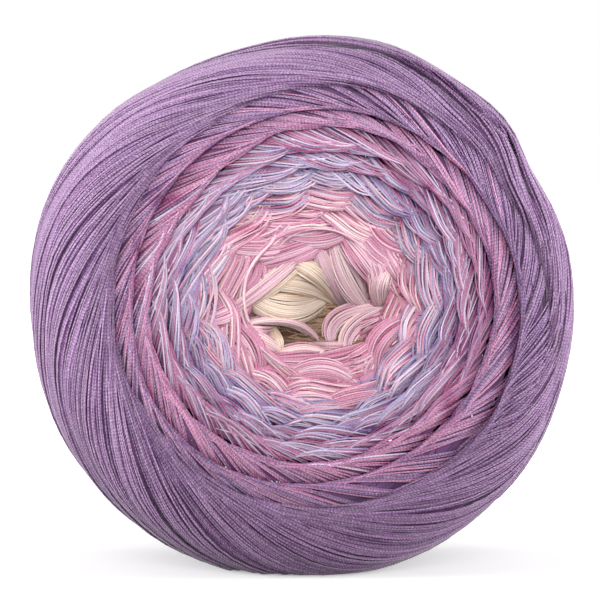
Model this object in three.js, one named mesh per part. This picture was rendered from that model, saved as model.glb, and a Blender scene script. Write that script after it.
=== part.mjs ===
// A yarn cake standing on its round side: one soft, coreless winding of gradient yarn. Its shown end has
// a spiral of crossing turns, and loose locks sunk into the hollow that the winding spindle left.
// Millimetres, +Z up, floor at Z = 0. The winding axis lies along Y and the shown end faces -Y.
import * as THREE from 'three';

// Driving sizes
const SIDE_REACH = 72.5; // mean radius of the round side
const SIDE_HEIGHT = 71.4; // centre of the round side over the floor: less than its reach, for the flat spot below
const END_HEIGHT = 73.8; // centre of the wound ends over the floor
const END_REACH = 69.5; // radius at which the turns of an end meet the round side
const HEART_REACH = 44; // the ends keep their own centre up to this radius
const FIRST_ANGLE = -45; // degrees, where the outermost turn of each end comes over from the side
const FADE_IN = 40; // degrees over which that turn rises, and the innermost one sinks
const HOLLOW = { acrossX: 21, acrossZ: 15, centreX: 0.5, centreZ: -3, depth: 16, flat: 0.4 };
const LOBES = { count: 18, lean: 0.03, share: 0.4 }; // bundles of turns that swell along each end's spiral
const SIDE_SWELLS = { count: 15, lean: 0.012, height: 0.15 }; // slanting bundles round the side

// The two ends: turns to their spiral, height of each turn's lip over the next, and rings of points inside the spiral
const SHOWN_END = { turns: 6, lift: 2.7, innerRings: 16 };
const BACK_END = { turns: 4, lift: 2, innerRings: 5 };
const BACK_SPIRAL = { startRadius: 60, pitch: 9.5, waver: 0.9 };
const SIDE_RINGS = 10;
const COLUMNS = 90;

// Rows of points across one turn of an end, from its inner edge outward: share of its width, and of its lift
const TURN_ROWS = [
  { share: 0, lift: -0.25 },
  { share: 0.26, lift: 1 },
  { share: 0.62, lift: 0.62 },
];

// The mean form from the middle of the shown end, round the side, to the middle of the back
const SECTIONS = [
  { radius: 0, along: -35.5 },
  { radius: 12, along: -35.8 },
  { radius: 24, along: -36.8 },
  { radius: 34, along: -38.2 },
  { radius: 44, along: -39.4 },
  { radius: 52, along: -39.6 },
  { radius: 58.5, along: -38.0 },
  { radius: 64, along: -34.2 },
  { radius: 68.8, along: -26.5 },
  { radius: 71.6, along: -15 },
  { radius: 72.5, along: 0 },
  { radius: 71.8, along: 15 },
  { radius: 69, along: 27.5 },
  { radius: 64, along: 35.5 },
  { radius: 56, along: 40 },
  { radius: 46, along: 41.2 },
  { radius: 34, along: 40.6 },
  { radius: 22, along: 38.8 },
  { radius: 11, along: 37 },
  { radius: 0, along: 36.6 },
];

// Reach of the round side from its centre, counter-clockwise from +X as the shown end is seen
const OUTLINE = [
  { degrees: 0, reach: 72.0 },
  { degrees: 18, reach: 71.7 },
  { degrees: 31, reach: 70.4 },
  { degrees: 42, reach: 72.8 },
  { degrees: 56, reach: 72.2 },
  { degrees: 72, reach: 73.0 },
  { degrees: 90, reach: 71.2 },
  { degrees: 104, reach: 69.7 },
  { degrees: 120, reach: 70.0 },
  { degrees: 137, reach: 72.3 },
  { degrees: 160, reach: 73.6 },
  { degrees: 182, reach: 72.8 },
  { degrees: 208, reach: 73.9 },
  { degrees: 235, reach: 74.7 },
  { degrees: 270, reach: 74.8 },
  { degrees: 304, reach: 74.4 },
  { degrees: 325, reach: 73.7 },
  { degrees: 343, reach: 72.2 },
];

// Inner edge of the shown end's spiral: its radius at every eighth of a turn, from the outermost turn inward
const TURNS = [
  { right: 63.5, upperRight: 58.9, top: 58.1, upperLeft: 54.2, left: 53.2, lowerLeft: 53.5, bottom: 54.0, lowerRight: 54.7 },
  { right: 54.0, upperRight: 51.1, top: 50.1, upperLeft: 48.3, left: 47.9, lowerLeft: 50.0, bottom: 48.3, lowerRight: 47.0 },
  { right: 47.3, upperRight: 45.5, top: 45.5, upperLeft: 41.0, left: 43.2, lowerLeft: 43.9, bottom: 42.7, lowerRight: 41.6 },
  { right: 42.7, upperRight: 40.9, top: 38.8, upperLeft: 37.0, left: 38.6, lowerLeft: 39.1, bottom: 37.5, lowerRight: 38.0 },
  { right: 37.6, upperRight: 36.0, top: 34.2, upperLeft: 32.6, left: 36.0, lowerLeft: 34.7, bottom: 33.7, lowerRight: 33.4 },
  { right: 33.6, upperRight: 31.0, top: 29.2, upperLeft: 28.8, left: 31.6, lowerLeft: 30.3, bottom: 30.2, lowerRight: 29.8 },
];

// Loose locks in the heart of the shown end, in millimetres from its centre, X to the right and Z up
const LOCKS = [
  { fromX: -20, fromZ: 21.3, midX: -6.9, midZ: 18.8, toX: 9.8, toZ: 22.1, width: 5.5, raise: 2.8 },
  { fromX: -7, fromZ: 15.9, midX: 2.1, midZ: 14.9, toX: 10.5, toZ: 18.5, width: 5.5, raise: 2.4 },
  { fromX: -25, fromZ: 14.1, midX: -14.6, midZ: 13.1, toX: -5.5, toZ: 15, width: 6, raise: 2.6 },
  { fromX: -14.4, fromZ: 10, midX: -17, midZ: 3.6, toX: -25.2, toZ: 0.5, width: 7, raise: 3 },
  { fromX: -31, fromZ: -5.7, midX: -19.8, midZ: -1.3, toX: -9.5, toZ: 4.1, width: 6, raise: 3.2 },
  { fromX: -29, fromZ: -7.7, midX: -24.4, midZ: -14.1, toX: -17.2, toZ: -21.6, width: 6.5, raise: 2.6 },
  { fromX: -21.6, fromZ: -5.1, midX: -15.9, midZ: -11.6, toX: -14.1, toZ: -19.5, width: 6, raise: 3.2 },
  { fromX: -14.1, fromZ: -18.5, midX: -3.1, midZ: -15.6, toX: 5.2, toZ: -17.6, width: 5, raise: 3.6 },
  { fromX: -7.7, fromZ: -21.8, midX: 1.5, midZ: -19.4, toX: 13.4, toZ: -23.6, width: 6, raise: 3.4 },
  { fromX: 3.2, fromZ: -10.8, midX: 5.4, midZ: -4.6, toX: 17.5, toZ: -1.3, width: 6, raise: 7 },
  { fromX: 8.7, fromZ: -16.4, midX: 10.5, midZ: -7.8, toX: 23.1, toZ: -1.8, width: 6, raise: 4.8 },
  { fromX: 14.9, fromZ: -23.1, midX: 15.9, midZ: -12.4, toX: 27.2, toZ: -2.6, width: 6.5, raise: 3.8 },
  { fromX: 6.7, fromZ: 13, midX: 8.4, midZ: 5.1, toX: 14.6, toZ: -1.5, width: 6.5, raise: 5 },
  { fromX: 20.5, fromZ: 9.6, midX: 17.9, midZ: 4.2, toX: 18.8, toZ: -1.3, width: 6, raise: 3 },
  { fromX: 10, fromZ: 22.5, midX: 15.4, midZ: 11.8, toX: 27.4, toZ: 5.7, width: 6.5, raise: 3.6 },
  { fromX: 14.4, fromZ: 26, midX: 18.6, midZ: 16.4, toX: 29, toZ: 12.3, width: 6, raise: 2.8 },
  { fromX: 25.2, fromZ: -16.5, midX: 26.3, midZ: -9.8, toX: 30, toZ: -5, width: 4.5, raise: 2.4 },
  { fromX: -12.9, fromZ: -28, midX: -1.8, midZ: -26.4, toX: 9, toZ: -29, width: 5, raise: 2.2 },
  { fromX: 2.5, fromZ: -28, midX: 9.6, midZ: -25.6, toX: 20.5, toZ: -24, width: 5, raise: 2.6 },
  { fromX: -15.5, fromZ: 4.5, midX: -3.4, midZ: -0.4, toX: 7, toZ: 2.4, width: 11.5, raise: 10 },
  { fromX: -10.5, fromZ: 8.6, midX: 0.4, midZ: 8.2, toX: 9.2, toZ: 1.6, width: 9, raise: 9.5 },
];
const LOCK_STEPS = 14;

const YARN = { color: 0x9a78ac, roughness: 0.95, metalness: 0 };

const radians = THREE.MathUtils.degToRad;
const smooth = THREE.MathUtils.smoothstep;
const FULL_TURN = 2 * Math.PI;
const START = radians(FIRST_ANGLE);
const STEP = FULL_TURN / COLUMNS;

// Value at one place of a smooth curve through knots, a list of {at, value} in order
function throughKnots(knots, at) {
  const last = knots.length - 1;
  let i = 0;
  while (i < last - 1 && at > knots[i + 1].at) i += 1;
  const [before, start, end, after] = [-1, 0, 1, 2].map((n) => knots[Math.min(last, Math.max(0, i + n))]);
  const span = end.at - start.at;
  const t = Math.min(1, Math.max(0, (at - start.at) / span));
  const slopeIn = (end.value - before.value) / Math.max(end.at - before.at, span);
  const slopeOut = (after.value - start.value) / Math.max(after.at - start.at, span);
  return start.value * (1 + 2 * t) * (1 - t) ** 2 + end.value * t * t * (3 - 2 * t)
    + slopeIn * span * t * (1 - t) ** 2 - slopeOut * span * t * t * (1 - t);
}

const outlineKnots = [-1, 0, 1].flatMap((lap) =>
  OUTLINE.map(({ degrees, reach }) => ({ at: radians(degrees + 360 * lap), value: reach })));

const spiralKnots = [
  { at: START, value: END_REACH },
  ...TURNS.flatMap((turn) => [turn.right, turn.upperRight, turn.top, turn.upperLeft,
    turn.left, turn.lowerLeft, turn.bottom, turn.lowerRight])
    .map((value, eighth) => ({ at: (eighth * FULL_TURN) / 8, value })),
];

// Radius of a spiral's inner edge, a number of columns after its start
function edgeRadius(end, column) {
  const angle = START + column * STEP;
  const outside = column < COLUMNS ? END_REACH : edgeRadius(end, column - COLUMNS);
  const plain = BACK_SPIRAL.startRadius - (BACK_SPIRAL.pitch * angle) / FULL_TURN + BACK_SPIRAL.waver * Math.sin(3 * angle);
  const radius = end === SHOWN_END ? throughKnots(spiralKnots, angle) : plain;
  return THREE.MathUtils.lerp(outside, radius, fade(end, column));
}

// 0 at the two tips of a spiral and 1 between them
function fade(end, column) {
  const fromTip = Math.min(column, end.turns * COLUMNS - column) * STEP;
  return smooth(fromTip, 0, radians(FADE_IN));
}

const meanForm = new THREE.SplineCurve(SECTIONS.map(({ radius, along }) => new THREE.Vector2(radius, along)));
meanForm.arcLengthDivisions = 600;

// Share of the mean form's length at which an end reaches a radius
function shareAtRadius(end, radius) {
  let [middle, side] = end === SHOWN_END ? [0, 0.5] : [1, 0.5];
  for (let halving = 0; halving < 20; halving += 1) {
    const between = (middle + side) / 2;
    if (meanForm.getPointAt(between).x < radius) middle = between;
    else side = between;
  }
  return side;
}

// A point of the surface, raised from the mean form by a relief
function surfacePoint(share, angle, relief) {
  const mean = meanForm.getPointAt(share);
  const heading = meanForm.getTangentAt(share);
  const onSide = smooth(mean.x, HEART_REACH, END_REACH + 1);
  const stretch = 1 + onSide * (throughKnots(outlineKnots, THREE.MathUtils.euclideanModulo(angle, FULL_TURN)) / SIDE_REACH - 1);
  const swell = onSide * SIDE_SWELLS.height * Math.cos(SIDE_SWELLS.count * (angle - SIDE_SWELLS.lean * mean.y));
  const out = Math.max(0, mean.x) * stretch + (relief + swell) * heading.y;
  const height = THREE.MathUtils.lerp(END_HEIGHT, SIDE_HEIGHT, onSide) + out * Math.sin(angle);
  return new THREE.Vector3(out * Math.cos(angle), mean.y - (relief + swell) * heading.x, Math.max(0, height));
}

// Depth of the shown end's hollow
function hollowDepth(x, z) {
  const out = Math.hypot((x - HOLLOW.centreX) / HOLLOW.acrossX, (z - HOLLOW.centreZ) / HOLLOW.acrossZ);
  return HOLLOW.depth * (1 - smooth(out, HOLLOW.flat, 1));
}

// Points along each lock's bow, which goes through its middle
const lockPaths = LOCKS.map((lock) => {
  const bend = new THREE.Vector2(2 * lock.midX - (lock.fromX + lock.toX) / 2, 2 * lock.midZ - (lock.fromZ + lock.toZ) / 2);
  return new THREE.QuadraticBezierCurve(
    new THREE.Vector2(lock.fromX, lock.fromZ), bend, new THREE.Vector2(lock.toX, lock.toZ)).getPoints(LOCK_STEPS);
});

// Height of the loose locks over the shown end
function lockHeight(x, z) {
  const here = new THREE.Vector2(x, z);
  let height = 0;
  LOCKS.forEach((lock, index) => {
    lockPaths[index].forEach((point, step) => {
      const off = here.distanceTo(point) / (lock.width / 2);
      const taper = Math.sin((Math.PI * (step + 1)) / (LOCK_STEPS + 2)) ** 0.5;
      if (off < 1) height = Math.max(height, lock.raise * taper * (1 - off * off));
    });
  });
  return height;
}

const points = [];
const faces = [];

function addPoint(share, angle, relief) {
  points.push(surfacePoint(share, angle, relief));
  return points.length - 1;
}

// Two triangles between neighbours nearer to and farther from the middle of an end, without the empty ones
function addQuad(end, near, nearNext, far, farNext) {
  for (const [a, b, c] of [[near, far, nearNext], [nearNext, far, farNext]]) {
    if (a !== b && b !== c && c !== a) faces.push(...(end === SHOWN_END ? [a, b, c] : [a, c, b]));
  }
}

function joinRings(end, nearRing, farRing) {
  nearRing.forEach((near, column) => {
    const next = (column + 1) % COLUMNS;
    addQuad(end, near, nearRing[next], farRing[column], farRing[next]);
  });
}

function addRing(share, relief) {
  return Array.from({ length: COLUMNS }, (_, column) => addPoint(share, START + column * STEP, relief));
}

// The turns of one end, wound inward from a ring as one strip whose rows follow each turn; gives the ring it leaves
function addTurns(end, outerRing) {
  const lastColumn = end.turns * COLUMNS;
  const strip = [];
  for (let column = 0; column <= lastColumn; column += 1) {
    const outside = column < COLUMNS ? outerRing[column] : strip[column - COLUMNS][0];
    const outerRadius = column < COLUMNS ? END_REACH : edgeRadius(end, column - COLUMNS);
    const innerRadius = edgeRadius(end, column);
    const angle = START + column * STEP;
    const rows = TURN_ROWS.map(({ share, lift }) => {
      if (column === 0 || column === lastColumn) return outside;
      const radius = THREE.MathUtils.lerp(innerRadius, outerRadius, share);
      const lobe = Math.cos(LOBES.count * (angle - LOBES.lean * (radius - innerRadius)));
      const rise = end.lift * (lift + LOBES.share * lift * lobe / 2) * fade(end, column);
      return addPoint(shareAtRadius(end, radius), angle, rise);
    });
    strip.push([...rows, outside]);
  }
  for (let column = 0; column < lastColumn; column += 1) {
    TURN_ROWS.forEach((_, row) => {
      const [here, next] = [strip[column], strip[column + 1]];
      addQuad(end, here[row], next[row], here[row + 1], next[row + 1]);
    });
  }
  return strip.slice(lastColumn - COLUMNS, lastColumn).map((rows) => rows[0]);
}

// The middle of one end, from the ring inside its turns to its centre
function addMiddle(end, outerRing) {
  const relief = (x, z) => (end === SHOWN_END ? lockHeight(x, z) - hollowDepth(x, z) : 0);
  let farRing = outerRing;
  for (let ring = end.innerRings - 1; ring > 0; ring -= 1) {
    const nearRing = outerRing.map((_, column) => {
      const angle = START + column * STEP;
      const radius = (edgeRadius(end, end.turns * COLUMNS - COLUMNS + column) * ring) / end.innerRings;
      return addPoint(shareAtRadius(end, radius), angle, relief(radius * Math.cos(angle), radius * Math.sin(angle)));
    });
    joinRings(end, nearRing, farRing);
    farRing = nearRing;
  }
  const centre = addPoint(end === SHOWN_END ? 0 : 1, 0, relief(0, 0));
  joinRings(end, Array(COLUMNS).fill(centre), farRing);
}

// The round side, between the outermost rings of the two ends
function addSide(shownRing, backRing, fromShare, toShare) {
  let ring = shownRing;
  for (let n = 1; n < SIDE_RINGS; n += 1) {
    const next = addRing(THREE.MathUtils.lerp(fromShare, toShare, n / SIDE_RINGS), 0);
    joinRings(SHOWN_END, ring, next);
    ring = next;
  }
  joinRings(SHOWN_END, ring, backRing);
}

// The whole winding as one closed skin, with the middle of its box over the origin
function windingGeometry() {
  const shares = [SHOWN_END, BACK_END].map((end) => shareAtRadius(end, END_REACH));
  const [shownRing, backRing] = shares.map((share) => addRing(share, 0));
  addMiddle(SHOWN_END, addTurns(SHOWN_END, shownRing));
  addSide(shownRing, backRing, ...shares);
  addMiddle(BACK_END, addTurns(BACK_END, backRing));
  const geometry = new THREE.BufferGeometry().setFromPoints(points);
  geometry.setIndex(faces);
  geometry.computeVertexNormals();
  geometry.computeBoundingBox();
  const middle = geometry.boundingBox.getCenter(new THREE.Vector3());
  geometry.translate(-middle.x, -middle.y, -geometry.boundingBox.min.z);
  return geometry;
}

const winding = new THREE.Mesh(windingGeometry(), new THREE.MeshStandardMaterial(YARN));
winding.name = 'yarn_cake';

const cake = new THREE.Group();
cake.add(winding);

export default cake;
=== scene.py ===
"""A yarn cake of four-ply gradient cotton, standing on its round side. Over an inner winding, darkened
with painted shade, lies every visible ply as a closed tube of its own, in the bundles, scallops and
loose locks that the winding leaves."""

import math

import bpy
import numpy as np
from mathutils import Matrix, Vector


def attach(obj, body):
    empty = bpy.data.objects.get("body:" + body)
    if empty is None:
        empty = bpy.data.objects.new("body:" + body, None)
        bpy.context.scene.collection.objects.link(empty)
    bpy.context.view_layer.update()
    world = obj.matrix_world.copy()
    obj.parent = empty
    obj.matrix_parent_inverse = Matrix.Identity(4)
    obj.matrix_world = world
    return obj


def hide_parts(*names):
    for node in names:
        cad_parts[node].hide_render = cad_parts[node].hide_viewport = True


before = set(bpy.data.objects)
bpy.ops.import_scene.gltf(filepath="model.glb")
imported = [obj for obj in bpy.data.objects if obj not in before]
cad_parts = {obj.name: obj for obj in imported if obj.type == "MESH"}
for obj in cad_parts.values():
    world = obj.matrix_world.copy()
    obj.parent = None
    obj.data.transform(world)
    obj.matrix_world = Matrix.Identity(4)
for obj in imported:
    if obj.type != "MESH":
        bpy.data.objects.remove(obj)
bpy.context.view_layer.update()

MM = 0.001
SEED = 41
FULL_TURN = 2 * math.pi

# Driving sizes of the winding, in millimetres, as in the part's source
SIDE_REACH = 72.5
SIDE_HEIGHT = 71.4
END_HEIGHT = 73.8
END_REACH = 69.5
HEART_REACH = 44
FIRST_ANGLE = math.radians(-45)
MIDDLE_X = -0.33  # middle of the winding's box, from its axis
MIDDLE_Y = 0.31
HOLLOW = {"across_x": 21, "across_z": 15, "centre_x": 0.5, "centre_z": -3, "depth": 16, "flat": 0.4}
SHOWN_LIFT = 2.7
BACK_LIFT = 2.0
BACK_SPIRAL = {"start": 60, "pitch": 9.5, "waver": 0.9}

# The mean form from the shown end to the back: radius from the axis, way along it
SECTIONS = [
    (0, -35.5), (12, -35.8), (24, -36.8), (34, -38.2), (44, -39.4), (52, -39.6), (58.5, -38.0),
    (64, -34.2), (68.8, -26.5), (71.6, -15), (72.5, 0), (71.8, 15), (69, 27.5), (64, 35.5),
    (56, 40), (46, 41.2), (34, 40.6), (22, 38.8), (11, 37), (0, 36.6),
]

# The round side: direction in degrees, counter-clockwise from +X as the shown end is seen, and reach there
OUTLINE = [
    (0, 72.0), (18, 71.7), (31, 70.4), (42, 72.8), (56, 72.2), (72, 73.0), (90, 71.2), (104, 69.7),
    (120, 70.0), (137, 72.3), (160, 73.6), (182, 72.8), (208, 73.9), (235, 74.7), (270, 74.8),
    (304, 74.4), (325, 73.7), (343, 72.2),
]

# Inner edge of each turn of the shown end, from outside in, at every eighth of a turn:
# right, upper right, top, upper left, left, lower left, bottom, lower right
TURNS = [
    (63.5, 58.9, 58.1, 54.2, 53.2, 53.5, 54.0, 54.7),
    (54.0, 51.1, 50.1, 48.3, 47.9, 50.0, 48.3, 47.0),
    (47.3, 45.5, 45.5, 41.0, 43.2, 43.9, 42.7, 41.6),
    (42.7, 40.9, 38.8, 37.0, 38.6, 39.1, 37.5, 38.0),
    (37.6, 36.0, 34.2, 32.6, 36.0, 34.7, 33.7, 33.4),
    (33.6, 31.0, 29.2, 28.8, 31.6, 30.3, 30.2, 29.8),
    (27.8, 24.7, 23.6, 23.6, 25.7, 26.7, 25.7, 25.2),
    (22.6, 18.0, 19.3, 18.0, 19.3, 20.6, 21.8, 18.5),
]

# The furrow that parts the outermost turn at the upper right: directions in degrees, and its radius there
FURROW = {
    "directions": (20, 38, 50, 62, 95),
    "radii": (62.5, 65.6, 65.2, 67.3, 68.6),
    "half_width": 1.2,
    "depth": 1.5,
    "begins": (15, 32),
    "ends": (80, 105),
}

# A tuft of undyed cotton
FLECK = {"direction": 42, "radius": 47, "lift": 2.9, "half_width": 0.42}

# Painted shade of the dark hollows between the hanks of the shown end: x, z, half width, half height
PAINTED_PIT_SHADE = [
    (-34, 7.7, 1.6, 2.4), (-17.2, 18.2, 4.5, 1.5), (-9.9, 24.2, 3.4, 1.3), (22.4, 21.3, 4, 2.4),
    (23.4, 28.5, 2, 3), (29.8, 28.3, 1.2, 2), (28, -10.8, 2, 4), (38, -11.6, 1.4, 4.6), (45.7, 2, 1, 9),
    (51.4, -7, 1, 6), (4.6, -22, 1.6, 1.2), (-38, 26, 4, 1.6), (-46, 9, 1, 6), (-22, -27, 4, 1.4),
    (14, -34, 6, 1.2), (35, -28, 1.6, 4), (-6, 39, 7, 1.1),
]

# Loose locks in the heart of the shown end, from its centre, X to the right and Z up:
# from x, z, middle x, z, to x, z, width, raise, dye
LOCKS = [
    (-20, 21.3, -6.9, 18.8, 9.8, 22.1, 5.5, 2.2, "pink"),
    (-8, 16.2, 2.1, 15.4, 11.5, 18.9, 4.5, 2.4, "pink"),
    (-25, 14.1, -14.6, 13.1, -4.5, 14.2, 6, 2.6, "pink"),
    (-14.4, 11, -16.5, 4.0, -25.2, 1.6, 7, 3, "pink"),
    (-30, -6.2, -22, -3.6, -13.5, 1.2, 5.5, 3.2, "pink"),
    (-29, -7.7, -24.4, -14.1, -17.2, -21.6, 6.5, 2.6, "pink"),
    (-22.5, -5.6, -16.6, -11.8, -14.1, -20.5, 6, 3.2, "pink"),
    (-19.5, -8.4, -13.6, -10.8, -7.6, -14.4, 3.6, 3.4, "blush"),
    (-13.1, -17.5, -2.4, -14.0, 5.2, -17.2, 4.6, 3.8, "blush"),
    (-8.2, -21.8, 2.6, -18.2, 13, -23.8, 5.6, 3.4, "pink"),
    (-0.6, -12.4, 4.4, -12.9, 9.6, -12.6, 3.2, 4.6, "blush"),
    (5.8, -11.4, 7.6, -5.6, 17.5, -2.2, 5.2, 7, "blush"),
    (10.6, -16.4, 11.3, -8.4, 24, -1.4, 5.6, 5.2, "blush"),
    (16.2, -20.6, 17.4, -10.6, 28, -4.4, 6.2, 3.8, "pink"),
    (0.4, 15.5, 4.4, 6.2, 9.8, -2.4, 5.4, 9.5, "blush"),
    (5.4, 15.5, 9.2, 5.4, 14.8, -3, 6.8, 7.4, "blush"),
    (-15, 8.6, -5, 11.6, 4.2, 15.2, 6, 2.6, "pink"),
    (7.5, 16.5, 12, 10.5, 17.5, 2.5, 5.5, 4.6, "pink"),
    (14, 13, 17, 6, 17, -3, 6, 3, "pink"),
    (8, -16, 13.5, -15, 21, -8, 6, 2.4, "pink"),
    (21.2, 9.4, 17.7, 4.4, 18.2, -2, 5.4, 3.6, "blush"),
    (10, 22.5, 15.4, 11.8, 27.4, 5.7, 6.5, 3.2, "pink"),
    (14.4, 26, 18.6, 16.4, 29, 12.3, 6, 2.6, "pink"),
    (25.2, -16.5, 26.3, -9.8, 31, -5, 4.5, 2.4, "pink"),
    (-12, -15.5, -4, -16.6, 5, -15.2, 5, 1.4, "pink"),
    (0, -15.6, 6.6, -15.6, 14, -12.4, 5, 1.8, "pink"),
    (9, -10.6, 13.6, -8.8, 20, -5, 5, 1.8, "pink"),
    (-12.9, -28, -1.8, -25.4, 9, -28, 5, 2.2, "pink"),
    (2.5, -28, 9.6, -25.6, 20.5, -24, 5, 2.6, "pink"),
    (-16.8, 1.2, -6, -3.0, 4.8, -0.4, 8.4, 13, "cream"),
    (-15, 3.4, -3, 4.2, 7.6, -1.6, 7, 12, "cream"),
    (-7, 9.4, 0.6, 6.4, 8.4, -2.4, 5, 12.6, "cream"),
    (-18, -2.6, -9.6, 3.6, -0.6, 11, 4, 10.6, "cream"),
    (-24, -4.8, -14.4, 2.6, 0.4, 14, 4.4, 8.6, "blush"),
    (-18.4, -7, -6.4, -6.0, 2.6, -11.4, 2.4, 13, "blush"),
    (-10.4, -6.4, -9.6, -10.4, -8.2, -14, 4, 5.6, "cream"),
    (-19, -7.4, -13, -8.4, -7, -7.8, 2.4, 5.2, "blush"),
]

# The yarn's dyes, and which four plies run together at each radius of the shown end
DYES = {
    "purple": "#A78AAC",
    "plum": "#96789F",
    "rose": "#C998B6",
    "lavender": "#BFB2CF",
    "lilac": "#DDD3E5",
    "pink": "#E0ABC2",
    "blush": "#EBCCD8",
    "shell": "#F6E3E1",
    "cream": "#F7E8DA",
    # cream darkened with painted shade, for the floor of the hollow; the yarn has no such dye
    "cream_in_painted_shade": "#AC917B",
}
SIDE_DYES_AT = 75.0
DYES_STRAY = 1.1  # how far from its radius a strand's dyes may come from, in millimetres
DYES_UNEVEN = 0.09
PLIES = [
    (SIDE_DYES_AT, ("purple", "purple", "purple", "plum")),
    (57, ("purple", "purple", "purple", "plum")),
    (53, ("purple", "purple", "plum", "plum")),
    (49.5, ("purple", "purple", "plum", "rose")),
    (46, ("purple", "purple", "rose", "rose")),
    (43, ("purple", "rose", "rose", "rose")),
    (40, ("rose", "rose", "rose", "lilac")),
    (37, ("rose", "lavender", "rose", "lilac")),
    (33.5, ("lavender", "lavender", "lilac", "rose")),
    (29.5, ("lavender", "lilac", "lavender", "blush")),
    (26, ("lavender", "lilac", "pink", "blush")),
    (23.5, ("pink", "pink", "blush", "shell")),
    (18, ("pink", "pink", "blush", "shell")),
    (13, ("pink", "blush", "shell", "cream")),
    (0, ("cream", "cream", "cream", "blush")),
]

# Plies, in millimetres
PLY_RADIUS = 0.24
SIDE_PLY_RADIUS = 0.26
PLY_SPACING = 0.55
LOWEST = 0.36  # of a ply's middle over the floor
TWIST = 0.9  # length of one twist, a little longer than the real one so that it shows
PLIES_OF_YARN = 4

# Painted shade and highlight on a ply: the power of its own dye underneath, at its sides and on its ridge,
# where plies are wound hard against each other and where they lie slack. Above 1 darkens the dye as if in
# shade, a little under 1 lightens the ridge.
HARD_SHADE = (2.0, 1.7, 0.95)
SLACK_SHADE = (2.1, 1.75, 0.97)
FUZZ = 0.9  # how far the fuzz at a ply's sides turns them to the light
SLACK_FLAT = 0.65  # height of a slack ply as a share of its width
BED_FLAT = 0.5
SLACK_PIECES = ("turns_3", "turns_6", "heart_locks", "hollow_bed", "cream_fleck")

# How the plies of a turn lie where it is wound tight, and what full slack adds to that
LIE = {
    "spacing": (0.52, 0.03),
    "thicker": (0.0, 0.03),
    "together": (0.15, 0.65),  # share of the way to the next yarn for which a yarn's plies keep together
    "pitch_deg": (3.5, 13.9),  # from one yarn or hank to the next
    "inward": (0.15, 0.8),
    "raised": (0.1, 0.5),
    "sag": (0.9, 4.4),
    "ply_turned_deg": (0.4, 0.9),
    "ply_inward": (0.12, 0.06),
    "ply_raised": (0.08, 0.06),
    "reach_less_deg": (0, 3),
    "left_deg": (12, 3),  # way of a ply before its lowest point
    "sway": (0.1, 0.45),
    "dive": (2.4, 1.0),  # how deep a ply's start goes under the turn before
    # painted shade, not shape: how much the dye darkens where a ply goes under the next turn
    "shade_under": (1.9, -0.9),  # deeper shade where a ply goes under the next turn
}
TIGHT_TURN, SLACKEST_TURN = 1, 6  # turns of the shown end between which the slack grows
CROWDED = 0.13  # how much closer the plies of the slackest turns lie
LONG_HANKS_REACH = 37  # radius inside which slack hanks run on for longer
HANK_REACH_DEG = (21, 31)  # way in which a ply rises across its turn
LONGEST_WAY = np.radians(84)  # of a ply from its lowest point until the next turn covers it
COVERED = 2.4  # how far inside the next turn's edge a ply ends

# The back's turns are wound tight, of plies a little thicker and wider apart than the shown end's
BACK_TURNS = range(1, 7)
BACK_STEPS = 12
BACK_SPACING = 0.6
BACK_THICKER = 1.15
BACK_SAG_SLACK = 0.15  # slack of the plies' paths alone

# The outermost winding: its plies' way round the axis, and how far inside the edge of the back's
# spiral they end
SIDE_START, SIDE_WAY = np.radians(-11), np.radians(202)
SIDE_BACK_INSET = 3.5
SIDE_BUNDLE_LIFT = 0.22
SIDE_BUNDLE_PERIODS = (2.6, 4.1, 6.7)  # in yarns, from one bundle to the next
SIDE_SLIPPED = 0.16  # share of the plies that lie a little deeper than the rest
SIDE_END_DIVE = 3.2
ROLL_DIRECTION = 25  # where the second roll of the outermost turn is highest and then drops
LEAVES_END = (math.radians(45), math.radians(85))  # way round over which a ply leaves the shown end
SEAM_FADES = 40  # degrees after the seam at which the outermost turn has its full height

# Share across the outermost turn from its inner edge outward, and height there as a share of the lift
SIDE_CREST = ((-0.1, 0.6), (0.05, 0.95), (0.25, 1.05), (0.62, 0.75), (1, 0.1), (1.2, 0))

# The loose locks: how deep their ends go, how far their plies stray, how much deeper the lower layer
# lies, and which dye some plies have instead and how many do
LOCK_ENDS_UNDER = 1.4
LOCK_STRAY = 0.16
LOCK_LAYER = 0.3
PALER = {"pink": "blush", "blush": "shell", "cream": "cream"}
PALER_SHARE = 0.4
BED_SPREAD = (12, 10)
BED_HALF_LENGTH = (8, 12)
BED_ROUGH = 0.3

# The inner winding: how deep it is under the part's surface, and how much deeper below the back's
# outermost turn. An end begins ENDS_FROM metres off the middle plane, and the place of the back's
# outermost turn BACK_TURN_FROM metres off it.
INNER_DEPTH = 0.75
INNER_BACK_DEPTH = 1.3
INNER_FURROW_WIDER = 2.5
INNER_GRAIN = 0.8
ENDS_FROM = 0.02
BACK_TURN_FROM = 0.015

# Lamps of the studio: name, place in metres, watts. All are square and one metre wide.
LAMPS = (
    ("front", (-0.1, -1.83, 0.36), 37),
    ("left", (-1.7, 0.0, 0.18), 56),
    ("right", (1.7, -0.2, 0.3), 38),
)
LAMP_SIZE = 1.0
LAMP_AIM = Vector((0, 0, 0.07))
DOME_LOW, DOME_HIGH = 0.22, 0.45  # strength of the white room at the horizon and overhead
FLOOR_HALF = 6.0  # metres

# The paper's own light by the distance from the middle in metres, which only the camera sees, and its
# tone for the winding and for the camera
PAPER_GLOW = {"From Min": 0.08, "From Max": 0.5, "To Min": 0.35, "To Max": 0.9}
PAPER_TONE = {"To Min": 0.08, "To Max": 0.95}

# The camera looks at the shown end from a little to the left and above
CAMERA_AIM = Vector((0, 0, 0.0717))
CAMERA_AZIMUTH, CAMERA_ELEVATION = math.radians(-5), math.radians(2.7)
CAMERA_DISTANCE = 1.0
CAMERA_LENS, CAMERA_SENSOR = 221, 36


# small helpers


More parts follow.
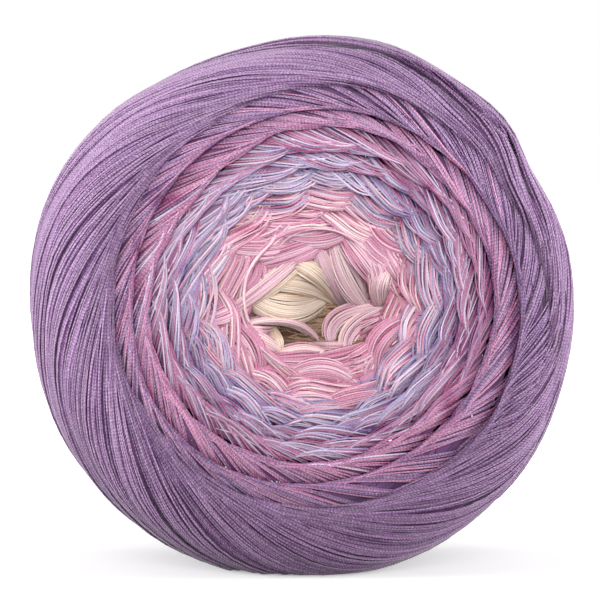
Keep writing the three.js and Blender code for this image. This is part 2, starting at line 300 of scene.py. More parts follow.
def linear(code, alpha=1.0):
    """sRGB hex colour as linear RGBA."""
    values = [int(code[i : i + 2], 16) / 255 for i in (1, 3, 5)]
    return (*[v / 12.92 if v <= 0.04045 else ((v + 0.055) / 1.055) ** 2.4 for v in values], alpha)


def smooth(x, low, high):
    """0 below low, 1 above high and an even curve between them."""
    t = np.clip((x - low) / (high - low), 0, 1)
    return t * t * (3 - 2 * t)


def lie(name, slack):
    """A measure of how the plies lie on a turn of this slack."""
    tight, added = LIE[name]
    return tight + added * slack


def bow(t, start, bend, end):
    """A curve from start to end, drawn towards bend."""
    return (1 - t) ** 2 * start + 2 * t * (1 - t) * bend + t**2 * end


def through_knots(at, value, x):
    """Smooth curve through knots, as in the part's source."""
    at, value = np.asarray(at, float), np.asarray(value, float)
    slope = np.empty_like(value)
    slope[1:-1] = (value[2:] - value[:-2]) / (at[2:] - at[:-2])
    slope[0] = (value[1] - value[0]) / (at[1] - at[0])
    slope[-1] = (value[-1] - value[-2]) / (at[-1] - at[-2])
    i = np.clip(np.searchsorted(at, x, side="right") - 1, 0, len(at) - 2)
    span = at[i + 1] - at[i]
    t = np.clip((x - at[i]) / span, 0, 1)
    start, end = value[i] * (1 + 2 * t) * (1 - t) ** 2, value[i + 1] * t * t * (3 - 2 * t)
    return start + end + span * (slope[i] * t * (1 - t) ** 2 - slope[i + 1] * t * t * (1 - t))


# form of the winding


def mean_form(steps=40):
    """The mean form as dense points: travel along it, radius, way along the axis, and outward normal."""
    rows = np.array(SECTIONS, float)
    padded = np.vstack([rows[:1], rows, rows[-1:]])
    t = np.linspace(0, 1, steps, endpoint=False)[:, None]
    pieces = []
    for a, b, c, d in zip(padded, padded[1:], padded[2:], padded[3:]):
        square, cube = 2 * a - 5 * b + 4 * c - d, 3 * b - a - 3 * c + d
        pieces.append(0.5 * (2 * b + (c - a) * t + square * t**2 + cube * t**3))
    points = np.vstack([*pieces, rows[-1:]])
    step = np.diff(points, axis=0)
    travel = np.concatenate([[0], np.cumsum(np.hypot(*step.T))])
    heading = np.gradient(points, travel, axis=0)
    heading /= np.hypot(*heading.T)[:, None]
    return travel, points[:, 0], points[:, 1], heading[:, 1], -heading[:, 0]


TRAVEL, RADIUS, ALONG, NORMAL_OUT, NORMAL_ALONG = mean_form()
WIDEST = int(np.argmax(RADIUS))
OUTLINE_AT = np.radians([d + 360 * lap for lap in (-1, 0, 1) for d, _ in OUTLINE])
OUTLINE_REACH = [reach for _ in range(3) for _, reach in OUTLINE]
SPIRAL_AT = np.concatenate([[FIRST_ANGLE], np.arange(8 * len(TURNS)) * math.pi / 4])
SPIRAL_RADIUS = np.concatenate([[END_REACH], np.ravel(TURNS)])


def travel_at(radius):
    """Travel at which the shown end reaches a radius."""
    return np.interp(radius, RADIUS[: WIDEST + 1], TRAVEL[: WIDEST + 1])


def back_travel_at(radius):
    """Travel at which the back reaches a radius."""
    return np.interp(radius, RADIUS[WIDEST:][::-1], TRAVEL[WIDEST:][::-1])


def out_of_hollow(x, z):
    """How far a place is from the middle of the hollow, as a share of the hollow's half width."""
    across = (x - HOLLOW["centre_x"]) / HOLLOW["across_x"]
    up = (z - HOLLOW["centre_z"]) / HOLLOW["across_z"]
    return np.hypot(across, up)


def hollow_depth(x, z):
    return HOLLOW["depth"] * (1 - smooth(out_of_hollow(x, z), HOLLOW["flat"], 1))


def place(travel, angle, lift):
    """Points in millimetres at a travel along the mean form, an angle round the axis and a lift off it."""
    radius = np.interp(travel, TRAVEL, RADIUS)
    on_side = smooth(radius, HEART_REACH, END_REACH + 1)
    reach = through_knots(OUTLINE_AT, OUTLINE_REACH, np.mod(angle, FULL_TURN))
    depth = hollow_depth(radius * np.cos(angle), radius * np.sin(angle))
    lift = lift - np.where(travel < TRAVEL[WIDEST], depth, 0)
    out = radius * (1 + on_side * (reach / SIDE_REACH - 1)) + lift * np.interp(travel, TRAVEL, NORMAL_OUT)
    along = np.interp(travel, TRAVEL, ALONG) + lift * np.interp(travel, TRAVEL, NORMAL_ALONG)
    height = END_HEIGHT + (SIDE_HEIGHT - END_HEIGHT) * on_side + out * np.sin(angle)
    return np.stack([out * np.cos(angle) - MIDDLE_X, along - MIDDLE_Y, np.maximum(height, LOWEST)], axis=-1)


def edge(turned):
    """Radius of the shown end's spiral at an angle counted from its first turn on."""
    return np.where(turned < FIRST_ANGLE, END_REACH + 1.0, through_knots(SPIRAL_AT, SPIRAL_RADIUS, turned))


def back_edge(turned):
    """Radius of the back's spiral, as edge gives the shown end's."""
    waver = BACK_SPIRAL["waver"] * np.sin(3 * turned)
    plain = BACK_SPIRAL["start"] - BACK_SPIRAL["pitch"] * turned / FULL_TURN + waver
    return np.where(turned < FIRST_ANGLE, END_REACH + 1.0, np.minimum(plain, END_REACH))


# plies as tubes


def directions(points):
    """Two directions square to each strand at each of its points: along the form and away from it."""
    heading = np.gradient(points, axis=1)
    heading /= np.linalg.norm(heading, axis=2, keepdims=True) + 1e-9
    outward = points - np.array([-MIDDLE_X, -MIDDLE_Y, END_HEIGHT])
    across = np.cross(heading, outward)
    across /= np.linalg.norm(across, axis=2, keepdims=True) + 1e-9
    return across[:, :, None, :], np.cross(across, heading)[:, :, None, :]


def tube_faces(strands, steps, sides):
    """Corners of the faces round every tube and at its two ends, and the first corner of each face."""
    side = np.arange(sides)
    ring = np.arange(steps - 1)[:, None] * sides
    beside = (side + 1) % sides
    quads = np.stack([ring + side, ring + sides + side, ring + sides + beside, ring + beside], axis=-1)
    strand = np.arange(strands)[:, None] * steps * sides
    quads = (strand[:, :, None] + quads.reshape(1, -1, 4)).reshape(-1)
    caps = np.stack([strand + side, strand + steps * sides - sides + side[::-1]], axis=1).reshape(-1)
    starts = [np.arange(len(quads) // 4) * 4, len(quads) + np.arange(2 * strands) * sides]
    return np.concatenate([quads, caps]).astype(np.int32), np.concatenate(starts).astype(np.int32)


def mesh_of(name, vertices, corners, starts):
    mesh = bpy.data.meshes.new(name)
    mesh.vertices.add(len(vertices))
    mesh.vertices.foreach_set("co", vertices.ravel().astype(np.float32))
    mesh.loops.add(len(corners))
    mesh.loops.foreach_set("vertex_index", corners)
    mesh.polygons.add(len(starts))
    mesh.polygons.foreach_set("loop_start", starts)
    mesh.update(calc_edges=True)
    mesh.polygons.foreach_set("use_smooth", np.ones(len(starts), bool))
    return mesh


def give_shaded_dye_and_run(mesh, colours, run):
    """Gives each vertex its dye with painted shade in it, and its place along and round the ply for the
    twist to follow.
    """
    # The dye attribute holds the dye with painted shade in it
    dye = mesh.attributes.new("dye", "FLOAT_COLOR", "POINT")
    dye.data.foreach_set("color", colours.astype(np.float32).ravel())
    way = mesh.attributes.new("run", "FLOAT_VECTOR", "POINT")
    way.data.foreach_set("vector", run.astype(np.float32).ravel())


def tubes(name, points, radius, dye, sides, shade, deep=None, flat=1.0):
    """One mesh of closed tubes. Points is strands x steps x 3 in millimetres, radius and dye are one for
    each strand, deep is how much deeper the painted shade is at each point, and flat a tube's height as a
    share of its width. Each vertex gets its ply's dye with painted shade and highlight in it."""
    strands, steps, _ = points.shape
    across, up = directions(points)
    taper = np.ones(steps)
    taper[[0, -1]] = 0.35
    turn = math.pi / 2 + FULL_TURN * np.arange(sides) / sides
    size = (radius[:, None] * taper)[:, :, None, None]
    ring = np.cos(turn)[:, None] * across + flat * np.sin(turn)[:, None] * up
    vertices = (points[:, :, None, :] + size * ring).reshape(-1, 3) * MM
    mesh = mesh_of(name, vertices, *tube_faces(strands, steps, sides))

    # Painted shade and highlight: the dye raised to a power that darkens the ply's sides and underside,
    # lightens its ridge a little, and deepens further by deep
    power = np.interp(np.sin(turn), (-1, 0, 1), shade)[:, None]
    if deep is not None:
        power = power + deep[:, :, None, None]
    colours = np.ones((strands, steps, sides, 4))
    colours[..., :3] = dye[:, None, None, :3] ** power
    stretches = np.linalg.norm(np.diff(points, axis=1), axis=2)
    length = np.concatenate([np.zeros((strands, 1)), np.cumsum(stretches, axis=1)], axis=1)
    round_ply = np.arange(sides) / sides
    run = np.empty((strands, steps, sides, 3))
    run[..., 0] = length[:, :, None] / TWIST + round_ply
    run[..., 1] = round_ply
    run[..., 2] = (np.arange(strands) * 1.7)[:, None, None]
    give_shaded_dye_and_run(mesh, colours, run)
    mesh.validate()

    facing = np.cos(turn)[:, None] * across + (np.sin(turn) + FUZZ)[:, None] * up
    facing /= np.linalg.norm(facing, axis=3, keepdims=True)
    mesh.normals_split_custom_set_from_vertices(facing.reshape(-1, 3).tolist())
    piece = bpy.data.objects.new(name, mesh)
    bpy.context.scene.collection.objects.link(piece)
    return piece


def ply_dyes(rng, radius, ply):
    """A dye for each strand from the plies at about its radius, a little lighter or darker each."""
    names = list(DYES)
    table = np.array([linear(DYES[n]) for n in names])
    at = np.array([r for r, _ in PLIES])
    row = np.argmin(np.abs(radius[:, None] + rng.normal(0, DYES_STRAY, len(radius))[:, None] - at), axis=1)
    choice = np.array([[names.index(p) for p in plies] for _, plies in PLIES])
    colours = table[choice[row, ply % PLIES_OF_YARN]]
    colours[:, :3] *= rng.normal(1, DYES_UNEVEN, len(radius))[:, None]
    return np.clip(colours, 0, 1)


# turns of the two ends

# Share across a turn from its inner edge outward, and height there as a share of the lift
ACROSS = (
    (-0.6, 0.1), (-0.15, 0.55), (0.05, 0.9), (0.25, 1.0),
    (0.6, 0.62), (1.0, -0.05), (1.3, -0.9), (1.8, -1.2),
)


def turn_strands(rng, turned, edges, slack, spacing):
    """Measures of the plies of one turn. On a tight turn each yarn's plies leave the inner edge soon
    after the last yarn's, and on a slack one they leave it together, in hanks of parallel plies."""
    rows = []
    angle = turned
    together = lie("together", slack)
    while angle < turned + FULL_TURN:
        inner = float(edges(np.array(angle)))
        width = float(edges(np.array(angle - FULL_TURN))) - inner
        longer = 1 + 0.7 * slack * (max(1.0, LONG_HANKS_REACH / inner) - 1)
        pitch = math.radians(lie("pitch_deg", slack) * longer * rng.uniform(0.8, 1.2))
        more_yarns = int(round(slack * (3.2 + 1.4 * slack**3) * width / 5))
        count = PLIES_OF_YARN * (1 + more_yarns)
        inward = rng.normal(0, lie("inward", slack))
        raised = rng.normal(0, lie("raised", slack))
        sag = lie("sag", slack) * rng.uniform(0.7, 1.35)
        reach = math.radians(rng.uniform(*HANK_REACH_DEG) - lie("reach_less_deg", slack)) * longer
        wave, phase = rng.uniform(0.5, 1.1), rng.random()
        for j in range(count):
            share = (j + 0.5) / count
            later = pitch * (1 - together) * (1 - share)
            rows.append((
                angle + later + math.radians(rng.normal(0, lie("ply_turned_deg", slack))),
                together * share * count * spacing + inward + rng.normal(0, lie("ply_inward", slack)),
                width,
                raised + 0.7 * slack * math.sin(math.pi * share) + rng.normal(0, lie("ply_raised", slack)),
                sag * rng.uniform(0.95, 1.05),
                reach * rng.uniform(0.97, 1.03),
                wave,
                phase + rng.normal(0, 0.04),
                j,
                longer,
            ))
        angle += pitch
    return np.array(rows)


def turn_paths(rows, edges, lift, travel_of, slack, steps=20):
    """Paths of the plies, down to the inner edge, along it, and up and out until they are under the next
    turn, and how much deeper their painted shade is on the way."""
    lowest, out, width, raised, sag, reach, wave, phase, _, longer = rows.T[:, :, None]
    left = np.radians(lie("left_deg", slack)) * longer
    probe = np.linspace(0, LONGEST_WAY, 70)
    rise = 1.25 * width * (probe / reach) ** 1.7
    passed = edges(lowest) + out + rise > edges(lowest + probe - FULL_TURN) + COVERED
    last = probe[np.where(passed.any(axis=1), passed.argmax(axis=1), -1)][:, None]
    way = np.linspace(0, 1, steps)
    angle = lowest - left + (last + left) * way**1.4
    before = np.clip((lowest - angle) / left, 0, 1)
    after = np.clip(angle - lowest, 0, None)
    sway = lie("sway", slack) * np.sin(FULL_TURN * (wave * way + phase))
    radius = edges(lowest) + out + sag * before**1.8 + 1.25 * width * (after / reach) ** 1.7 + sway
    inner, outer = edges(angle), edges(angle - FULL_TURN)
    share = (radius - inner) / np.maximum(outer - inner, 2)
    at, value = np.array(ACROSS).T
    height = lift * np.interp(share, at, value) + raised - lie("dive", slack) * smooth(before, 0.35, 1)
    # Painted shade: deeper where a ply goes under the next turn, where it dives under the turn before, and
    # on hanks that lie low
    deep = lie("shade_under", slack) * smooth(share, 0.65, 1.15) + 0.6 * smooth(before, 0.4, 1)
    deep = deep + 0.5 * np.clip(-raised, 0, 1)
    return place(travel_of(np.maximum(radius, 0.5)), angle, height), deep


def painted_pit_shade(x, z):
    """Share of the painted shade of the nearest hollow between hanks."""
    return sum(np.exp(-(((x - px) / wide) ** 2) - ((z - pz) / high) ** 2) for px, pz, wide, high in PAINTED_PIT_SHADE)


def shown_turns(first, last, steps=20):
    """The plies of some turns of the shown end, which are slacker the further in they lie."""
    rng = np.random.default_rng(SEED + first)
    points, deep, radii, dyes = [], [], [], []
    for turn in range(first, last):
        slack = max(0, min(1, (turn - TIGHT_TURN) / (SLACKEST_TURN - TIGHT_TURN)))
        spacing = lie("spacing", slack) - CROWDED * slack**3
        rows = turn_strands(rng, FIRST_ANGLE + FULL_TURN * turn, edge, slack, spacing)
        paths, shade = turn_paths(rows, edge, SHOWN_LIFT, travel_at, slack, steps)
        points.append(paths)
        # painted shade of the hollows between hanks adds to the plies' own
        deep.append(shade + painted_pit_shade(paths[..., 0] + MIDDLE_X, paths[..., 2] - END_HEIGHT))
        radii.append((PLY_RADIUS + lie("thicker", slack)) * rng.normal(1, 0.1, len(rows)))
        dyes.append(ply_dyes(rng, edge(rows[:, 0]) + 0.3 * rows[:, 1], rows[:, 8].astype(int)))
    points, deep, radii, dyes = (np.concatenate(parts) for parts in (points, deep, radii, dyes))
    name = f"turns_{first}"
    if name in SLACK_PIECES:
        return tubes(name, points, radii, dyes, 4, SLACK_SHADE, deep, SLACK_FLAT)
    return tubes(name, points, radii, dyes, 4, HARD_SHADE, deep)


def back_turns():
    """The plies of the back's turns."""
    rng = np.random.default_rng(SEED + 100)
    points, radii, dyes = [], [], []
    for turn in BACK_TURNS:
        rows = turn_strands(rng, FIRST_ANGLE + FULL_TURN * turn, back_edge, 0.0, BACK_SPACING)
        paths, _ = turn_paths(rows, back_edge, BACK_LIFT, back_travel_at, BACK_SAG_SLACK, BACK_STEPS)
        points.append(paths)
        radii.append(PLY_RADIUS * rng.normal(BACK_THICKER, 0.08, len(rows)))
        dyes.append(ply_dyes(rng, back_edge(rows[:, 0]), rows[:, 8].astype(int)))
    points, radii, dyes = (np.concatenate(parts) for parts in (points, radii, dyes))
    return tubes("back_turns", points, radii, dyes, 3, HARD_SHADE)


# the outermost winding, from one end round the side to the other


def bundles(rng, yarn, way):
    """Height of the bundles of neighbouring yarns, which part and join along their way."""
    height = 0
    for period in SIDE_BUNDLE_PERIODS:
        phase, drift = rng.random(), rng.uniform(-1, 1)
        bend = 0.2 * np.sin(5 * way + 9 * phase)
        height = height + 0.75 * np.sin(FULL_TURN * (yarn / period + phase + drift * way + bend))
    return height


def furrow(travel, angle, wider=1):
    """Share of the depth of the furrow that parts the outermost turn at the upper right."""
    degrees = np.mod(np.degrees(angle), 360)
    middle = travel_at(np.interp(degrees, FURROW["directions"], FURROW["radii"]))
    away = (travel - middle) / (FURROW["half_width"] * wider)
    return np.exp(-(away**2)) * smooth(degrees, *FURROW["begins"]) * (1 - smooth(degrees, *FURROW["ends"]))


def rolled_lift(lowest, turned, across):
    """Height of the outermost turn's roll over the mean form, which starts at the seam."""
    from_seam = np.degrees(lowest - FIRST_ANGLE)[:, None]
    from_roll = np.degrees(lowest)[:, None] - ROLL_DIRECTION
    on_end = 1 - smooth(turned, *LEAVES_END)
    full = smooth(from_seam, 0, SEAM_FADES)
    seam = 0.6 * (1 - full) - 1.2 * smooth(from_seam, 325, 360)
    roll = np.where(from_roll < 0, 0.7 * smooth(from_roll, -30, 0), -1.5 * (1 - smooth(from_roll, 0, 22)))
    at, value = np.array(SIDE_CREST).T
    return on_end * seam + on_end * roll + SHOWN_LIFT * full * np.interp(across, at, value)


def outer_winding(part, parts=2, yarns=120, steps=52):
    """The plies of some yarns of the outermost turn, each half a turn round and from end to end."""
    rng = np.random.default_rng(SEED + 200)
    count = PLIES_OF_YARN * yarns
    yarn, ply = np.divmod(np.arange(count), PLIES_OF_YARN)
    per_yarn = rng.normal(0, 1, (yarns, 3))[yarn]
    lowest = FIRST_ANGLE + FULL_TURN * (yarn + 0.25 * per_yarn[:, 0]) / yarns
    front = travel_at(np.minimum(edge(lowest), END_REACH) + 0.3 * per_yarn[:, 1])[:, None]
    back = back_travel_at(BACK_SPIRAL["start"] - SIDE_BACK_INSET + 0.9 * per_yarn[:, 2])[:, None]
    way = np.linspace(0, 1, steps)
    turned = SIDE_START + SIDE_WAY * way
    half = (back - front) / 2
    travel = front + half - half * np.cos(turned)
    slope = half * np.sin(turned) / np.interp(travel, TRAVEL, RADIUS)
    beside = ((ply - 1.5) * PLY_SPACING + rng.normal(0, 0.1, count))[:, None]
    waves = rng.uniform(2, 6, (count, 1)) * way + rng.random((count, 1))
    beside = beside + 0.13 * np.sin(FULL_TURN * waves)
    travel = travel + beside / np.sqrt(1 + slope**2)
    angle = lowest[:, None] + turned - beside * slope / np.sqrt(1 + slope**2) / SIDE_REACH
    bundle = bundles(rng, (yarn + ply / PLIES_OF_YARN)[:, None], way)
    groove = furrow(travel, angle)
    across = (travel - front) / np.maximum(travel_at(END_REACH) - front, 3)
    uneven = 0.1 * per_yarn[:, 1:2] + rng.normal(0, 0.08, (count, 1))
    slipped = 0.3 * (rng.random((count, 1)) < SIDE_SLIPPED)
    lift = uneven - slipped + SIDE_BUNDLE_LIFT * bundle - FURROW["depth"] * groove
    lift = lift + rolled_lift(lowest, turned, across)
    lift = lift - SIDE_END_DIVE * (1 - smooth(way, 0.0, 0.07) * (1 - smooth(way, 0.965, 1)))
    # Painted shade: the dye darkens on bundles that lie low and in the furrow
    deep = 0.3 * np.clip(-bundle, 0, 1.6) + 1.5 * groove
    points = place(travel, angle, lift)
    radii = SIDE_PLY_RADIUS * rng.normal(1.0, 0.1, count)
    dyes = ply_dyes(rng, np.full(count, SIDE_DYES_AT), ply)
    chosen = slice(count * part // parts, count * (part + 1) // parts)
    name = f"outer_winding_{part}"
    return tubes(name, points[chosen], radii[chosen], dyes[chosen], 4, HARD_SHADE, deep[chosen])


# loose locks in the heart


def bed_of_hollow(rng, count=110, steps=14):
    """Paths of the cream plies that lie slack on the floor and walls of the hollow."""
    t = np.linspace(-1, 1, steps)
    middle = rng.uniform(-1, 1, (count, 2)) * BED_SPREAD + (HOLLOW["centre_x"], HOLLOW["centre_z"])
    slant = rng.normal(0.05, 0.1, (count, 1))
    half = rng.uniform(*BED_HALF_LENGTH, (count, 1))
    x = middle[:, :1] + half * t * np.cos(slant)
    z = middle[:, 1:] + half * t * np.sin(slant) + rng.uniform(-1.5, 2.5, (count, 1)) * (t**2 - 0.5)
    height = rng.uniform(-BED_ROUGH, BED_ROUGH, (count, 1)) - 1.2 * np.abs(t) ** 6
    return place(travel_at(np.maximum(np.hypot(x, z), 0.3)), np.arctan2(z, x), height)


def lock_paths(rng, lock, t, spacing):
    """Paths of the plies of one lock, in two layers, and which of them lie in the lower one."""
    x0, z0, x1, z1, x2, z2, width, raised, _ = lock
    x = bow(t, x0, 2 * x1 - (x0 + x2) / 2, x2)
    z = bow(t, z0, 2 * z1 - (z0 + z2) / 2, z2)
    dx, dz = np.gradient(x), np.gradient(z)
    size = np.hypot(dx, dz)
    count = 2 * int(width / spacing)
    under = (np.arange(count) % 2)[:, None]
    side = (np.linspace(-1, 1, count) + rng.normal(0, 0.5 / count, count))[:, None]
    spread = width / 2 * (0.5 + 0.5 * np.sin(math.pi * t)) * side
    stray = rng.normal(0, LOCK_STRAY, (count, 1)) * np.cos(math.pi * (1.3 * t + rng.random((count, 1))))
    spread = spread + stray
    px, pz = x - dz / size * spread, z + dx / size * spread
    start = -LOCK_ENDS_UNDER - 0.9 * hollow_depth(x0, z0)
    end = -LOCK_ENDS_UNDER - 0.9 * hollow_depth(x2, z2)
    crest = 2 * (raised - hollow_depth(x1, z1)) - (start + end) / 2
    rounded = (0.8 + 0.4 * raised) * (1 - np.sqrt(np.clip(1 - side**2, 0, 1)))
    height = bow(t, start, crest, end) - rounded
    height = height - LOCK_LAYER * under + rng.normal(0, 0.08, (count, 1)) + hollow_depth(px, pz)
    return place(travel_at(np.hypot(px, pz)), np.arctan2(pz, px), height), under


def lock_dyes_and_shade(rng, dye, under):
    """Dyes of the plies of one lock, some of them paler, and the lower ones darkened with painted shade."""
    is_paler = (rng.random(len(under)) < PALER_SHARE)[:, None]
    colour = np.where(is_paler, np.array(linear(DYES[PALER[dye]])), np.array(linear(DYES[dye])))
    # Painted shade: the lower layer's dye darkened as a power of itself
    colour[:, :3] = colour[:, :3] ** (1 + 0.7 * under) * rng.normal(1, 0.04, len(under))[:, None]
    return np.clip(colour, 0, 1)


def heart_locks(steps=16, spacing=0.52):
    """The loose locks in the heart, and the bed of the hollow under them."""
    rng = np.random.default_rng(SEED + 300)
    points, dyes = [], []
    for lock in LOCKS:
        paths, under = lock_paths(rng, lock, np.linspace(0, 1, steps), spacing)
        points.append(paths)
        dyes.append(lock_dyes_and_shade(rng, lock[-1], under))
    points, dyes = np.concatenate(points), np.concatenate(dyes)
    bed = bed_of_hollow(rng)
    # The bed's plies are cream, given the hollow's painted shade
    bed_cream_in_shade = np.tile(linear(DYES["cream_in_painted_shade"]), (len(bed), 1))
    bed_cream_in_shade[:, :3] *= rng.normal(1, 0.06, len(bed))[:, None]
    bed_cream_in_shade = np.clip(bed_cream_in_shade, 0, 1)
    radii = (PLY_RADIUS + 0.01) * rng.normal(1, 0.1, len(points))
    bed_radii = np.full(len(bed), PLY_RADIUS + 0.06)
    return [
        tubes("heart_locks", points, radii, dyes, 4, SLACK_SHADE, flat=SLACK_FLAT),
        tubes("hollow_bed", bed, bed_radii, bed_cream_in_shade, 4, SLACK_SHADE, flat=BED_FLAT),
    ]


def cream_fleck(steps=8):
    """A short tuft of undyed cotton caught between the plies at the upper right."""
    t = np.linspace(-1, 1, steps)
    angle = np.radians(FLECK["direction"] - 1.2 * t)
    lift = FLECK["lift"] * (1 - 0.3 * t**2)
    path = place(travel_at(np.full(steps, FLECK["radius"])), angle, lift)[None]
    radius, dye = np.array([FLECK["half_width"]]), np.array([linear(DYES["cream"])])
    return tubes("cream_fleck", path, radius, dye, 6, SLACK_SHADE)


# the inner winding, which only shows between the plies


def sink(places, normals, radius, angle):
    """Lowers the vertices under the plies, and flattens them under the loose locks of the heart."""
    groove = np.where(places[:, 1] < 0, furrow(travel_at(radius), angle, INNER_FURROW_WIDER), 0)
    outermost = smooth(radius, BACK_SPIRAL["start"] - 9, BACK_SPIRAL["start"] - 5)
    outermost = np.where(places[:, 1] > BACK_TURN_FROM, outermost, 0)
    in_heart = np.where(places[:, 1] < -ENDS_FROM, 1 - smooth(radius, 21, 27), 0)
    depth = INNER_DEPTH + FURROW["depth"] * groove + INNER_BACK_DEPTH * outermost
    places -= normals * depth[:, None] * MM
    plain = place(travel_at(np.maximum(radius, 0.3)), angle, np.full(len(places), -0.8))[:, 1] * MM
    places[:, 1] += in_heart * (plain - places[:, 1])


def inner_colours(along, radius, hollow_shade_share):
    """Mixed dye of the plies that lie over each vertex, and in the hollow cream darkened with painted
    shade.
    """
    matched = np.where(np.abs(along) > ENDS_FROM, np.maximum(radius, 18), SIDE_DYES_AT)
    at = np.array([r for r, _ in PLIES])[::-1]
    mixed = np.array([np.mean([linear(DYES[d]) for d in plies], axis=0) for _, plies in PLIES])[::-1]
    colours = np.stack([np.interp(matched, at, mixed[:, c]) for c in range(4)], axis=1)
    return colours + hollow_shade_share[:, None] * (np.array(linear(DYES["cream_in_painted_shade"])) - colours)


def inner_winding():
    """The part's own surface, sunk under the plies. It replaces the plain part in the picture."""
    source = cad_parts["yarn_cake"]
    piece = bpy.data.objects.new("inner_winding", source.data.copy())
    bpy.context.scene.collection.objects.link(piece)
    mesh = piece.data
    mesh.materials.clear()
    count = len(mesh.vertices)
    places, normals = np.empty(count * 3, np.float32), np.empty(count * 3, np.float32)
    mesh.vertices.foreach_get("co", places)
    mesh.vertices.foreach_get("normal", normals)
    places, normals = places.reshape(-1, 3), normals.reshape(-1, 3)
    x, z = places[:, 0] / MM + MIDDLE_X, places[:, 2] / MM - END_HEIGHT
    radius, angle = np.hypot(x, z), np.arctan2(z, x)
    # Painted shade: in the hollow the colour turns to cream darkened as if in shade
    hollow_shade_share = np.where(places[:, 1] < -ENDS_FROM, 1 - smooth(out_of_hollow(x, z), 0.55, 0.8), 0)
    sink(places, normals, radius, angle)
    mesh.vertices.foreach_set("co", places.ravel())
    mesh.polygons.foreach_set("use_smooth", np.ones(len(mesh.polygons), bool))
    run = np.stack([angle, radius / INNER_GRAIN, places[:, 1] / MM / INNER_GRAIN], axis=1)
    give_shaded_dye_and_run(mesh, inner_colours(places[:, 1], radius, hollow_shade_share), run)
    mesh.update()
    return piece


# materials

# Cotton is matte and dull. Its sheen stands for the fuzz, which catches light at grazing angles.
COTTON = {"Roughness": 0.85, "Specular IOR Level": 0.2, "Sheen Weight": 0.3, "Sheen Roughness": 0.4}
ONE_BAND = 0.314  # scale at which the wave texture draws one band in each unit of its vector
TWIST_BEND = {"Distortion": 3.0, "Detail": 2.0, "Detail Scale": 2.0}
FIBRE_SCALE = 1.7  # fibres to a twist
FIBRE_HEIGHT = 0.0001


def add_node(tree, kind, settings=None, inputs=None):
    """Adds a node, sets its properties and inputs; an input given as a socket is linked."""
    node = tree.nodes.new(kind)
    for name, value in (settings or {}).items():
        setattr(node, name, value)
    for name, value in (inputs or {}).items():
        if isinstance(value, bpy.types.NodeSocket):
            tree.links.new(value, node.inputs[name])
        else:
            node.inputs[name].default_value = value
    return node


def new_material(name):
    material = bpy.data.materials.new(name)
    material.use_nodes = True
    material.node_tree.nodes.clear()
    return material, material.node_tree


def ply_material(name, shade, speckle):
    """Brushed cotton ply: soft matte thread, speckled along its twist and fibres, darker where their bump
    is low: partly the fibres' own uneven tone and partly painted shade in the grooves. A shade above 1
    darkens the whole dye as painted shade.
    """
    material, tree = new_material(name)
    dye = add_node(tree, "ShaderNodeAttribute", {"attribute_name": "dye"})
    run = add_node(tree, "ShaderNodeAttribute", {"attribute_name": "run"}).outputs["Vector"]
    twist = add_node(tree, "ShaderNodeTexWave", {"bands_direction": "X"}, {
        "Vector": run, "Scale": ONE_BAND, **TWIST_BEND})
    fibres = add_node(tree, "ShaderNodeTexNoise", {}, {"Vector": run, "Scale": FIBRE_SCALE, "Detail": 3.0})
    grain_and_groove_shade = add_node(tree, "ShaderNodeMath", {"operation": "MULTIPLY_ADD"}, {
        0: twist.outputs["Fac"], 1: 0.3, 2: fibres.outputs["Fac"]}).outputs["Value"]
    # Painted shade in part: the dye darkens as a power of itself where the twist and fibres are low
    tone = add_node(tree, "ShaderNodeMapRange", {}, {
        "Value": grain_and_groove_shade, "From Min": 0.35, "From Max": 0.95,
        "To Min": shade + speckle, "To Max": shade - speckle})
    colour = add_node(tree, "ShaderNodeGamma", {}, {
        "Color": dye.outputs["Color"], "Gamma": tone.outputs["Result"]})
    bump = add_node(tree, "ShaderNodeBump", {}, {
        "Height": grain_and_groove_shade, "Strength": 0.5, "Distance": FIBRE_HEIGHT})
    surface = add_node(tree, "ShaderNodeBsdfPrincipled", {}, {
        "Base Color": colour.outputs["Color"], "Normal": bump.outputs["Normal"], **COTTON})
    add_node(tree, "ShaderNodeOutputMaterial", {}, {"Surface": surface.outputs["BSDF"]})
    return material


# stage


def floor_material():
    """White paper, lit to its far edge for the camera, which throws little light back at the winding."""
    material, tree = new_material("white_paper")
    seen = add_node(tree, "ShaderNodeLightPath").outputs["Is Camera Ray"]
    at = add_node(tree, "ShaderNodeTexCoord").outputs["Object"]
    away = add_node(tree, "ShaderNodeVectorMath", {"operation": "LENGTH"}, {0: at}).outputs["Value"]
    glow = add_node(tree, "ShaderNodeMapRange", {}, {"Value": away, **PAPER_GLOW}).outputs["Result"]
    shown = add_node(tree, "ShaderNodeMath", {"operation": "MULTIPLY"}, {0: glow, 1: seen}).outputs["Value"]
    tone = add_node(tree, "ShaderNodeMapRange", {}, {"Value": seen, **PAPER_TONE}).outputs["Result"]
    paper = add_node(tree, "ShaderNodeBsdfPrincipled", {}, {
        "Base Color": tone, "Roughness": 0.9, "Emission Color": (1, 1, 1, 1), "Emission Strength": shown})
    add_node(tree, "ShaderNodeOutputMaterial", {}, {"Surface": paper.outputs["BSDF"]})
    return material


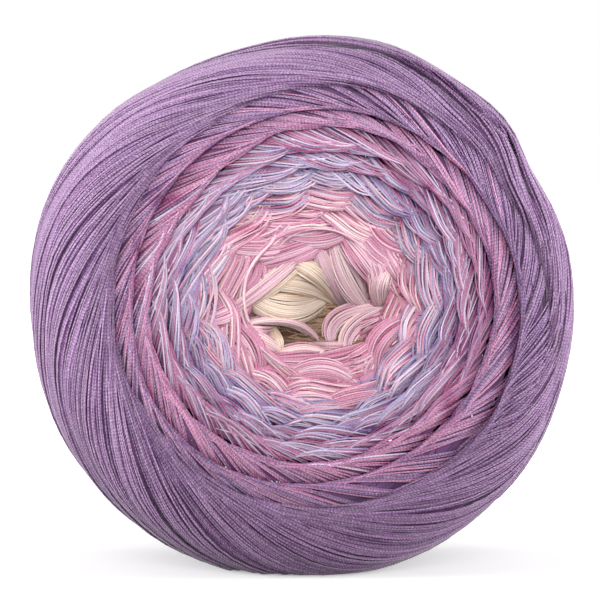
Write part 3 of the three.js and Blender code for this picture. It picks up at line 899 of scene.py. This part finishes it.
def build_room():
    """A white room, dim at the horizon and brighter overhead, that the camera sees as plain white."""
    world = bpy.data.worlds.new("studio")
    bpy.context.scene.world = world
    world.use_nodes = True
    tree = world.node_tree
    seen = add_node(tree, "ShaderNodeLightPath").outputs["Is Camera Ray"]
    way = add_node(tree, "ShaderNodeTexCoord").outputs["Generated"]
    height = add_node(tree, "ShaderNodeSeparateXYZ", {}, {"Vector": way}).outputs["Z"]
    dome = add_node(tree, "ShaderNodeMapRange", {}, {
        "Value": height, "From Min": 0.0, "From Max": 1.0, "To Min": DOME_LOW, "To Max": DOME_HIGH})
    strength = add_node(tree, "ShaderNodeMapRange", {}, {
        "Value": seen, "To Min": dome.outputs["Result"], "To Max": 1.0})
    background = tree.nodes["Background"]
    background.inputs["Color"].default_value = (1, 1, 1, 1)
    tree.links.new(strength.outputs["Result"], background.inputs["Strength"])


def build_floor():
    mesh = bpy.data.meshes.new("floor")
    half = FLOOR_HALF
    corners = [(-half, -half, 0), (half, -half, 0), (half, half, 0), (-half, half, 0)]
    mesh.from_pydata(corners, [], [(0, 1, 2, 3)])
    floor = bpy.data.objects.new("floor", mesh)
    bpy.context.scene.collection.objects.link(floor)
    mesh.materials.append(floor_material())


def build_lamps():
    for name, place_m, watts in LAMPS:
        light = bpy.data.lights.new(name, "AREA")
        light.energy = watts
        light.size = LAMP_SIZE
        lamp = bpy.data.objects.new(name, light)
        lamp.location = place_m
        lamp.rotation_euler = (LAMP_AIM - Vector(place_m)).to_track_quat("-Z", "Y").to_euler()
        bpy.context.scene.collection.objects.link(lamp)


def build_camera():
    data = bpy.data.cameras.new("camera")
    data.sensor_width = CAMERA_SENSOR
    data.lens = CAMERA_LENS
    camera = bpy.data.objects.new("camera", data)
    level = math.cos(CAMERA_ELEVATION)
    back = Vector((
        math.sin(CAMERA_AZIMUTH) * level,
        -math.cos(CAMERA_AZIMUTH) * level,
        math.sin(CAMERA_ELEVATION),
    ))
    camera.location = CAMERA_AIM + back * CAMERA_DISTANCE
    camera.rotation_euler = (-back).to_track_quat("-Z", "Y").to_euler()
    bpy.context.scene.collection.objects.link(camera)
    bpy.context.scene.camera = camera


def main():
    build_room()
    build_floor()
    build_lamps()
    build_camera()
    ply = ply_material("brushed_cotton_ply", shade=1.0, speckle=0.4)
    slack_ply = ply_material("slack_cotton_ply", shade=1.0, speckle=0.2)
    base = inner_winding()
    # Painted shade: the inner winding's dye is darkened to the power 1.9, as it only shows in the shade
    # between the plies
    base.data.materials.append(ply_material("shaded_cotton_winding", shade=1.9, speckle=0.35))
    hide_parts("yarn_cake")
    pieces = [shown_turns(1, 3), shown_turns(3, 6), shown_turns(6, 9), back_turns()]
    pieces += [outer_winding(0), outer_winding(1), *heart_locks(), cream_fleck()]
    for piece in pieces:
        piece.data.materials.append(slack_ply if piece.name in SLACK_PIECES else ply)
    for piece in [base, *pieces]:
        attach(piece, "root")
    bpy.context.scene.view_settings.view_transform = "Standard"


main()
